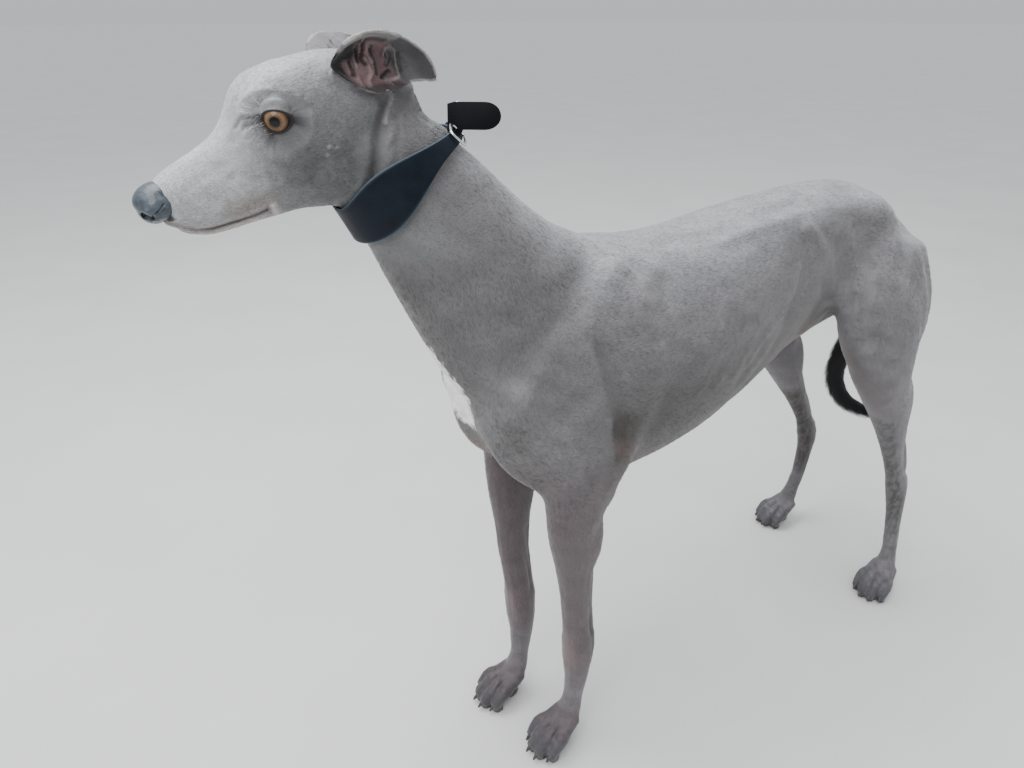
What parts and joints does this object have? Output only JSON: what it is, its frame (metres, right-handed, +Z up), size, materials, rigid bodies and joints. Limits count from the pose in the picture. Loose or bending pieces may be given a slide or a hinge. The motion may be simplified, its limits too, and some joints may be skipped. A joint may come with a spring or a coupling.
{
  "type": "greyhound",
  "caption": "Life-size still model of a lean, short-coated sighthound standing square with its head turned level, ears folded back and tail hanging, in a wide leather collar.",
  "frame": {"origin": "on the floor under the middle of the model's box", "axes": "-X toward the nose, -Y toward the animal's left side, +Z up; the paws stand on z = 0"},
  "size_m": [1.0842, 0.2916, 0.8933],
  "materials": {
    "coat": "short flat blue-grey fur",
    "dark_coat": "short black fur",
    "ear_skin": "thin soft skin with very short fur",
    "nose_leather": "moist, finely pebbled",
    "eye_glass": "wet and glossy, amber iris",
    "collar_leather": "smooth navy-black, soft sheen",
    "chrome": "polished"
  },
  "bodies": {
    "root": {"head": "coat", "neck": "coat", "torso": "coat", "foreleg_left": "coat", "foreleg_right": "coat", "hindleg_left": "coat", "hindleg_right": "coat", "forepaw_left": "coat", "forepaw_right": "coat", "hindpaw_left": "coat", "hindpaw_right": "coat", "tail": "dark_coat", "ear_left": "ear_skin", "ear_right": "ear_skin", "nose": "nose_leather", "eye_left": "eye_glass", "eye_right": "eye_glass", "collar": "collar_leather", "collar_strap_end": "collar_leather", "collar_keeper": "collar_leather", "collar_ring": "chrome", "collar_buckle": "chrome"}
  },
  "joints": []
}
